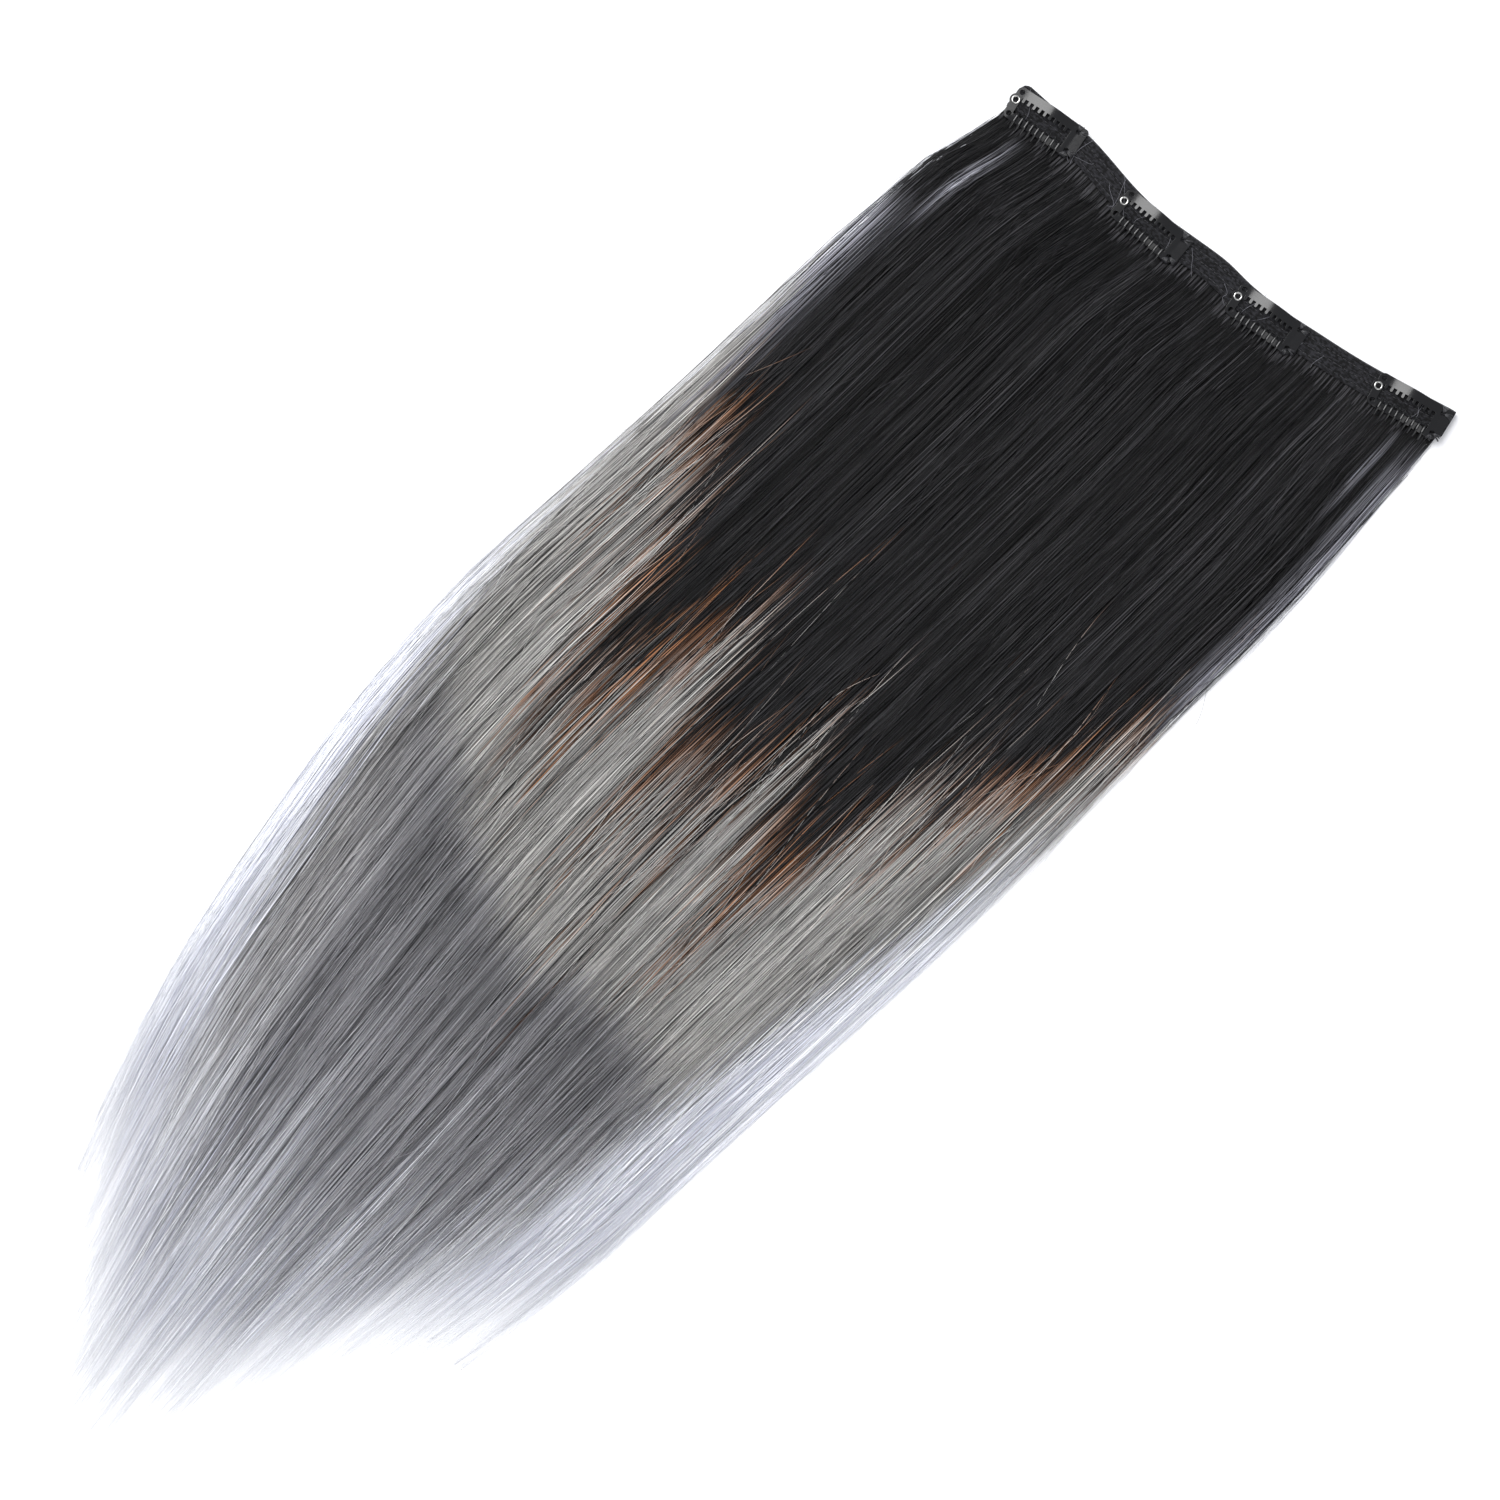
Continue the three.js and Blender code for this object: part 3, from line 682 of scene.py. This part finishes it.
# The gathered roots
# Just below the tape the sewn roots stand up in short close ridges, like a brush.
tuft_count = 130
hairs_per_tuft = 6
tuft = (np.arange(tuft_count) + 0.5 + chance.uniform(-0.25, 0.25, tuft_count)) / tuft_count
root = np.repeat(tuft, hairs_per_tuft) + chance.normal(0, 0.0012, tuft_count * hairs_per_tuft)
root = np.clip(root, 0.002, 0.998)
tuft_reach = np.repeat(chance.uniform(5, 10, tuft_count), hairs_per_tuft) + chance.normal(0, 1.0, len(root))
share = np.linspace(0, 1, 6)[None, :]
distance = (-2 + (tuft_reach[:, None] + 2) * share) * mm
fall_here = (distance + tuck) / hair_length
splay = chance.normal(0, 0.0035, (len(root), 1)) * share
level = np.interp(share, (0, 0.2, 0.5, 0.8, 1), (0.92, 1.15, 1.3, 1.2, 0.9))
level = level + chance.normal(0, 0.04, (len(root), 1))
routes = lay_hair(root[:, None] + splay, fall_here, np.ones(len(root)), level)
radii = chance.uniform(0.14, 0.22, (len(root), 1)) * mm * np.interp(share, (0, 0.6, 1), (1, 1, 0.3))
fields = dye_fields(root, nearest_clump(root), 1)
# The tufts are painted at the top of the black range, a painted highlight on the raised ridges.
fields["tone"] = 1.05 + np.repeat(chance.normal(0, 0.25, tuft_count), hairs_per_tuft)
fields["fall"] = fall_here
strand_mesh("hair_roots", routes, radii, fields, hair_material)

# The stitches
# Three rows of black lockstitch through the tape, each stitch sunk at its two ends.
stitch_pitch = 2.3 * mm
stitch_gap = 0.5 * mm
stitch_radius = 0.14 * mm
thread_material, thread_place = new_material("black_thread")
twist = (thread_place.noise(2600.0, 1.0)).rise(0.35, 0.65)
close_material(
    thread_place,
    {
        "Base Color": twist.mix((0.006, 0.006, 0.007, 1), (0.03, 0.03, 0.034, 1)),
        "Roughness": 0.38,
        "Normal": twist.bump(0.05 * mm, 0.6),
    },
)
stitch_count = int((run_along[-1] - 2 * mm) / stitch_pitch)
stitch_from = 1 * mm + np.arange(stitch_count) * stitch_pitch
stitch_share = np.linspace(0, 1, 6)
stitch_run = stitch_from[:, None] + stitch_share[None, :] * (stitch_pitch - stitch_gap)
stitch_sink = np.array([-0.16, 0.02, 0.08, 0.08, 0.02, -0.16]) * mm
stitch_routes = []
for from_hem in stitch_rows:
    x = np.interp(stitch_run, run_along, fold_x)
    y = np.interp(stitch_run, run_along, fold_y)
    out_x = np.interp(stitch_run, run_along, outward[:, 0])
    out_y = np.interp(stitch_run, run_along, outward[:, 1])
    inward = from_hem - tape_width
    puckered = np.interp(stitch_run, run_along, pucker) * -inward / tape_width
    z = tape_height - 0.13 * mm + puckered + stitch_sink
    stitch_routes.append(np.stack([x + out_x * inward, y + out_y * inward, z], axis=-1))
stitch_routes = np.concatenate(stitch_routes)
stitch_radii = np.full(stitch_routes.shape[:2], stitch_radius)
strand_mesh("tape_stitches", stitch_routes, stitch_radii, {}, thread_material, 6)

# The snap combs
# Each is stamped from black painted spring steel: a back leg with nine short teeth, a front leg that
# nine fingers arch over, two tabs with sewing holes at each end, and a bow that snaps it shut.
# In the comb's own frame x runs from the riveted end, y is 0 at the back edge and falls to the hair.
comb_length = 31 * mm
comb_width = 13.2 * mm
steel = 0.6 * mm
back_leg = 3.5 * mm
front_leg = 2.6 * mm
rivet_end = 3.2 * mm
sewn_end = 6 * mm
tooth_pitch = 2.35 * mm
tooth_count = 9
tooth_width = 1.1 * mm
tooth_length = 1.8 * mm
hole_radius = 1 * mm
flat_end = 3.4 * mm
bow_height = 1.6 * mm
eyelet_at = (1.4 * mm, -5.6 * mm)
sewing_holes = (
    (2 * mm, -2 * mm),
    (2 * mm, 2 * mm - comb_width),
    (comb_length - 3.4 * mm, -2.4 * mm),
    (comb_length - 3.4 * mm, 2.4 * mm - comb_width),
)
window_length = comb_length - rivet_end - sewn_end
first_tooth = rivet_end + (window_length - (tooth_count - 1) * tooth_pitch) / 2 - tooth_pitch / 4


def add_block(low, high):
    """A box between two corners, as a new object with its place in its mesh."""
    size = [b - a for a, b in zip(low, high)]
    middle = [(a + b) / 2 for a, b in zip(low, high)]
    bpy.ops.mesh.primitive_cube_add(size=1, location=middle, scale=size)
    bpy.ops.object.transform_apply(location=True, rotation=True, scale=True)
    return bpy.context.object


def add_pin(place, radius, low, high, sides=28):
    """An upright cylinder, as a new object with its place in its mesh."""
    middle = (place[0], place[1], (low + high) / 2)
    bpy.ops.mesh.primitive_cylinder_add(vertices=sides, radius=radius, depth=high - low, location=middle)
    bpy.ops.object.transform_apply(location=True, rotation=True, scale=True)
    return bpy.context.object


def round_corners(piece, places, radius, segments):
    """Bevels the upright edges at these places."""
    bpy.context.view_layer.objects.active = piece
    bpy.ops.object.mode_set(mode="EDIT")
    bpy.ops.mesh.select_mode(type="EDGE")
    bpy.ops.mesh.select_all(action="DESELECT")
    shape = bmesh.from_edit_mesh(piece.data)
    for edge in shape.edges:
        a, b = (vertex.co for vertex in edge.verts)
        upright = (a.xy - b.xy).length < 1e-6
        if upright and any((a.xy - Vector(place)).length < 1e-5 for place in places):
            edge.select_set(True)
    bmesh.update_edit_mesh(piece.data)
    bpy.ops.mesh.bevel(offset=radius, segments=segments, affect="EDGES")
    bpy.ops.object.mode_set(mode="OBJECT")


def join_or_cut(piece, tool, operation):
    """Applies a boolean with the tool to the piece, and removes the tool."""
    change = piece.modifiers.new("change", "BOOLEAN")
    change.operation = operation
    change.object = tool
    change.solver = "EXACT"
    bpy.context.view_layer.objects.active = piece
    bpy.ops.object.modifier_apply(modifier="change")
    bpy.data.objects.remove(tool)


def bow_at(x):
    share = np.clip((x - flat_end) / (comb_length - 2 * flat_end), 0, 1)
    return bow_height * np.sin(math.pi * share) ** 2


# The blank: a flat strip, trimmed by a die with the comb's outline and the tab of the eyelet
die = add_block((0, -comb_width, -3 * mm), (comb_length, 0, 3 * mm))
round_corners(die, [(0, 0), (0, -comb_width)], 2.2 * mm, 7)
round_corners(die, [(comb_length, 0)], 1.1 * mm, 5)
round_corners(die, [(comb_length, -comb_width)], 3 * mm, 1)
join_or_cut(die, add_pin(eyelet_at, 2.4 * mm, -2.5 * mm, 2.5 * mm), "UNION")
comb = add_block((-5 * mm, -20 * mm, 0), (40 * mm, 5 * mm, steel))
join_or_cut(comb, die, "INTERSECT")

# The window, punched round the short teeth, and the holes
punch = add_block((rivet_end, front_leg - comb_width, -2 * mm), (comb_length - sewn_end, -back_leg, 2 * mm))
round_corners(punch, [(rivet_end, -back_leg), (rivet_end, front_leg - comb_width)], 0.9 * mm, 4)
for number in range(tooth_count):
    x = first_tooth + number * tooth_pitch
    low = (x - tooth_width / 2, -back_leg - tooth_length, -3 * mm)
    tooth = add_block(low, (x + tooth_width / 2, -back_leg + 1 * mm, 3 * mm))
    round_corners(tooth, [low[:2], (x + tooth_width / 2, low[1])], 0.48 * mm, 4)
    join_or_cut(punch, tooth, "DIFFERENCE")
join_or_cut(comb, punch, "DIFFERENCE")
for place in sewing_holes:
    join_or_cut(comb, add_pin(place, hole_radius, -2 * mm, 2 * mm), "DIFFERENCE")
join_or_cut(comb, add_pin(eyelet_at, 1.15 * mm, -2 * mm, 2 * mm), "DIFFERENCE")
softened = comb.modifiers.new("softened", "BEVEL")
softened.width = 0.13 * mm
softened.segments = 2
softened.limit_method = "ANGLE"
softened.angle_limit = math.radians(50)
bpy.context.view_layer.objects.active = comb
bpy.ops.object.modifier_apply(modifier="softened")

# The bow: the flat comb is scored across in edit mode, and then raised along its length
bpy.ops.object.mode_set(mode="EDIT")
for score in np.linspace(flat_end, comb_length - flat_end, 19):
    bpy.ops.mesh.select_all(action="SELECT")
    bpy.ops.mesh.bisect(plane_co=(score, 0, 0), plane_no=(1, 0, 0))
bpy.ops.mesh.select_all(action="SELECT")
bpy.ops.mesh.quads_convert_to_tris()
bpy.ops.object.mode_set(mode="OBJECT")

# A finger: a bent prong from inside the window, over the front leg and down in front of it
finger_line = (
    (-9.0, 0.3),
    (-9.3, 0.75),
    (-10.1, 1.0),
    (-11.4, 1.07),
    (-12.7, 1.0),
    (-13.6, 0.72),
    (-14.6, 0.25),
    (-15.5, -0.2),
)
finger_girth = (0.8, 1.0, 1.0, 1.0, 1.0, 1.0, 0.95, 0.75)
finger_flatness = 0.5
bpy.ops.curve.primitive_nurbs_path_add()
finger = bpy.context.object
finger.data.bevel_depth = 0.46 * mm
finger.data.bevel_resolution = 2
finger.data.resolution_u = 4
finger.data.use_fill_caps = True
line = finger.data.splines[0]
line.points.add(len(finger_line) - len(line.points))
for point, (y, z), girth in zip(line.points, finger_line, finger_girth):
    point.co = (0, y * mm, z * mm, 1)
    point.radius = girth
bpy.ops.object.convert(target="MESH")
bpy.ops.object.transform_apply(location=True, rotation=True, scale=True)
spine_y = [y * mm for y, z in reversed(finger_line)]
spine_z = [z * mm for y, z in reversed(finger_line)]
for vertex in finger.data.vertices:
    spine = float(np.interp(vertex.co.y, spine_y, spine_z))
    vertex.co.z = spine + (vertex.co.z - spine) * finger_flatness

# The comb is bowed, and its front leg leans down under the fingers, but not at its two ends
lean_from = front_leg - comb_width
leg_lean = 0.75 * mm
lean_stops = (rivet_end, 2 * rivet_end, comb_length - 9 * mm, comb_length - sewn_end)
comb_shape = bmesh.new()
comb_shape.from_mesh(comb.data)
for vertex in comb_shape.verts:
    below_window = max(lean_from - vertex.co.y, 0) / front_leg
    in_window = float(np.interp(vertex.co.x, lean_stops, (0, 1, 1, 0)))
    vertex.co.z += float(bow_at(vertex.co.x)) - leg_lean * below_window * in_window
for number in range(tooth_count):
    x = first_tooth + (number + 0.5) * tooth_pitch
    prong = finger.data.copy()
    prong.transform(Matrix.Translation((x, 0, float(bow_at(x)))))
    comb_shape.from_mesh(prong)
comb_shape.to_mesh(comb.data)
comb_shape.free()
bpy.data.objects.remove(finger)

steel_material, steel_place = new_material("black_paint_on_steel")
orange_peel = steel_place.noise(300.0, 1.0)
scuffed = steel_place.noise(520.0, 4.0, (1, 4, 1)).rise(0.62, 0.8)
close_material(
    steel_place,
    {
        "Base Color": scuffed.mix((0.003, 0.003, 0.0036, 1), (0.010, 0.010, 0.0112, 1)),
        "Roughness": orange_peel * 0.05 + scuffed * 0.08 + 0.15,
        "Specular IOR Level": 0.42,
        "Normal": orange_peel.bump(0.01 * mm, 0.05),
    },
)
comb.data.materials.clear()
comb.data.materials.append(steel_material)

# The eyelets
# A rolled nickel eyelet holds the two ends of each comb's loop together.
eyelet_sides = 36
eyelet_profile = (
    (0.94, 0), (1.1, 0), (1.1, 0.6), (1.48, 0.62), (1.64, 0.72), (1.68, 0.88), (1.58, 1.02), (1.38, 1.1),
    (1.18, 1.08), (1.03, 0.97), (0.95, 0.78),
)
radius, height = eyelet_profile[0]
bpy.ops.mesh.primitive_circle_add(vertices=eyelet_sides, radius=radius * mm, location=(0, 0, height * mm))
eyelet = bpy.context.object
bpy.ops.object.mode_set(mode="EDIT")
bpy.ops.mesh.select_all(action="SELECT")
for (before, low), (after, high) in zip(eyelet_profile, eyelet_profile[1:] + eyelet_profile[:1]):
    bpy.ops.mesh.extrude_region_move(TRANSFORM_OT_translate={"value": (0, 0, (high - low) * mm)})
    bpy.ops.transform.resize(value=(after / before, after / before, 1), center_override=(0, 0, high * mm))
bpy.ops.mesh.select_all(action="SELECT")
bpy.ops.mesh.remove_doubles(threshold=0.002 * mm)
bpy.ops.mesh.normals_make_consistent(inside=False)
bpy.ops.object.mode_set(mode="OBJECT")
nickel_material, nickel_place = new_material("nickel_plate")
scuffs = nickel_place.noise(900.0, 3.0)
close_material(
    nickel_place,
    {
        "Base Color": scuffs.mix((0.4, 0.396, 0.38, 1), (0.58, 0.575, 0.555, 1)),
        "Metallic": 1.0,
        "Roughness": scuffs * 0.12 + 0.1,
    },
)
eyelet.data.materials.append(nickel_material)

# Each comb and its eyelet in place, and the thread that sews the comb to the tape
comb_turns = (3, -3, 2, 7)
loops_at_hole = (
    (2, (118, 109, 100, 91, 82, 73, 22, 13, 4, -5, -14)),
    (3, (-118, -109, -100, -91, -82, -73, -22, -13, -4, 5, 14)),
)
hole_from_edge = (3.4 * mm, 2.4 * mm)
loop_share = np.linspace(0, 1, 9)
loop_bends = (0, 0.15, 0.35, 0.7, 0.88, 1)
loop_inner = 0.3 * mm
loop_radius = 0.23 * mm
for number, turn in enumerate(comb_turns, 1):
    rivet_low, rivet_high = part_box(f"clip_{number}_rivet")
    turning = Matrix.Rotation(math.radians(turn), 4, "Z")
    rivet_middle = (rivet_low + rivet_high) / 2
    start = Vector((rivet_middle.x, rivet_middle.y, rivet_low.z)) - turning @ Vector((*eyelet_at, 0))
    in_place = Matrix.Translation(start) @ turning
    this_comb = bpy.data.objects.new(f"comb_{number}", comb.data.copy())
    this_comb.data.transform(in_place)
    this_eyelet = bpy.data.objects.new(f"eyelet_{number}", eyelet.data.copy())
    this_eyelet.data.transform(in_place @ Matrix.Translation((*eyelet_at, 0)))
    for piece, slot, stands_for, sharpest in (
        (this_comb, "comb_steel", f"clip_{number}_plate", 20),
        (this_eyelet, "rivet", f"clip_{number}_rivet", 60),
    ):
        bpy.context.scene.collection.objects.link(piece)
        bpy.ops.object.select_all(action="DESELECT")
        piece.select_set(True)
        bpy.context.view_layer.objects.active = piece
        bpy.ops.object.shade_smooth_by_angle(angle=math.radians(sharpest))
        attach(piece, "root")
        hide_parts(stands_for)
    routes = []
    for hole, headings in loops_at_hole:
        for heading in headings:
            angle = math.radians(heading + chance.normal(0, 4))
            to_back = hole_from_edge[1] / max(abs(math.sin(angle)), 0.1)
            to_end = hole_from_edge[0] / max(abs(math.cos(angle)), 0.1)
            reach = min(to_back, to_end) + chance.uniform(0.1, 0.4) * mm
            x = sewing_holes[hole][0] + math.cos(angle) * (loop_inner + (reach - loop_inner) * loop_share)
            y = sewing_holes[hole][1] + math.sin(angle) * (loop_inner + (reach - loop_inner) * loop_share)
            lift = chance.uniform(0.72, 1.05)
            z = np.interp(loop_share, loop_bends, (-0.1, 0.55, lift, lift, 0.35, -0.25)) * mm
            routes.append(np.stack([x, y, z], axis=-1))
    routes = np.stack(routes) @ np.array(turning.to_3x3()).T + np.array(start)
    loop_radii = np.full(routes.shape[:2], loop_radius)
    strand_mesh(f"comb_{number}_thread", routes, loop_radii, {}, thread_material, 6)
bpy.data.objects.remove(comb)
bpy.data.objects.remove(eyelet)
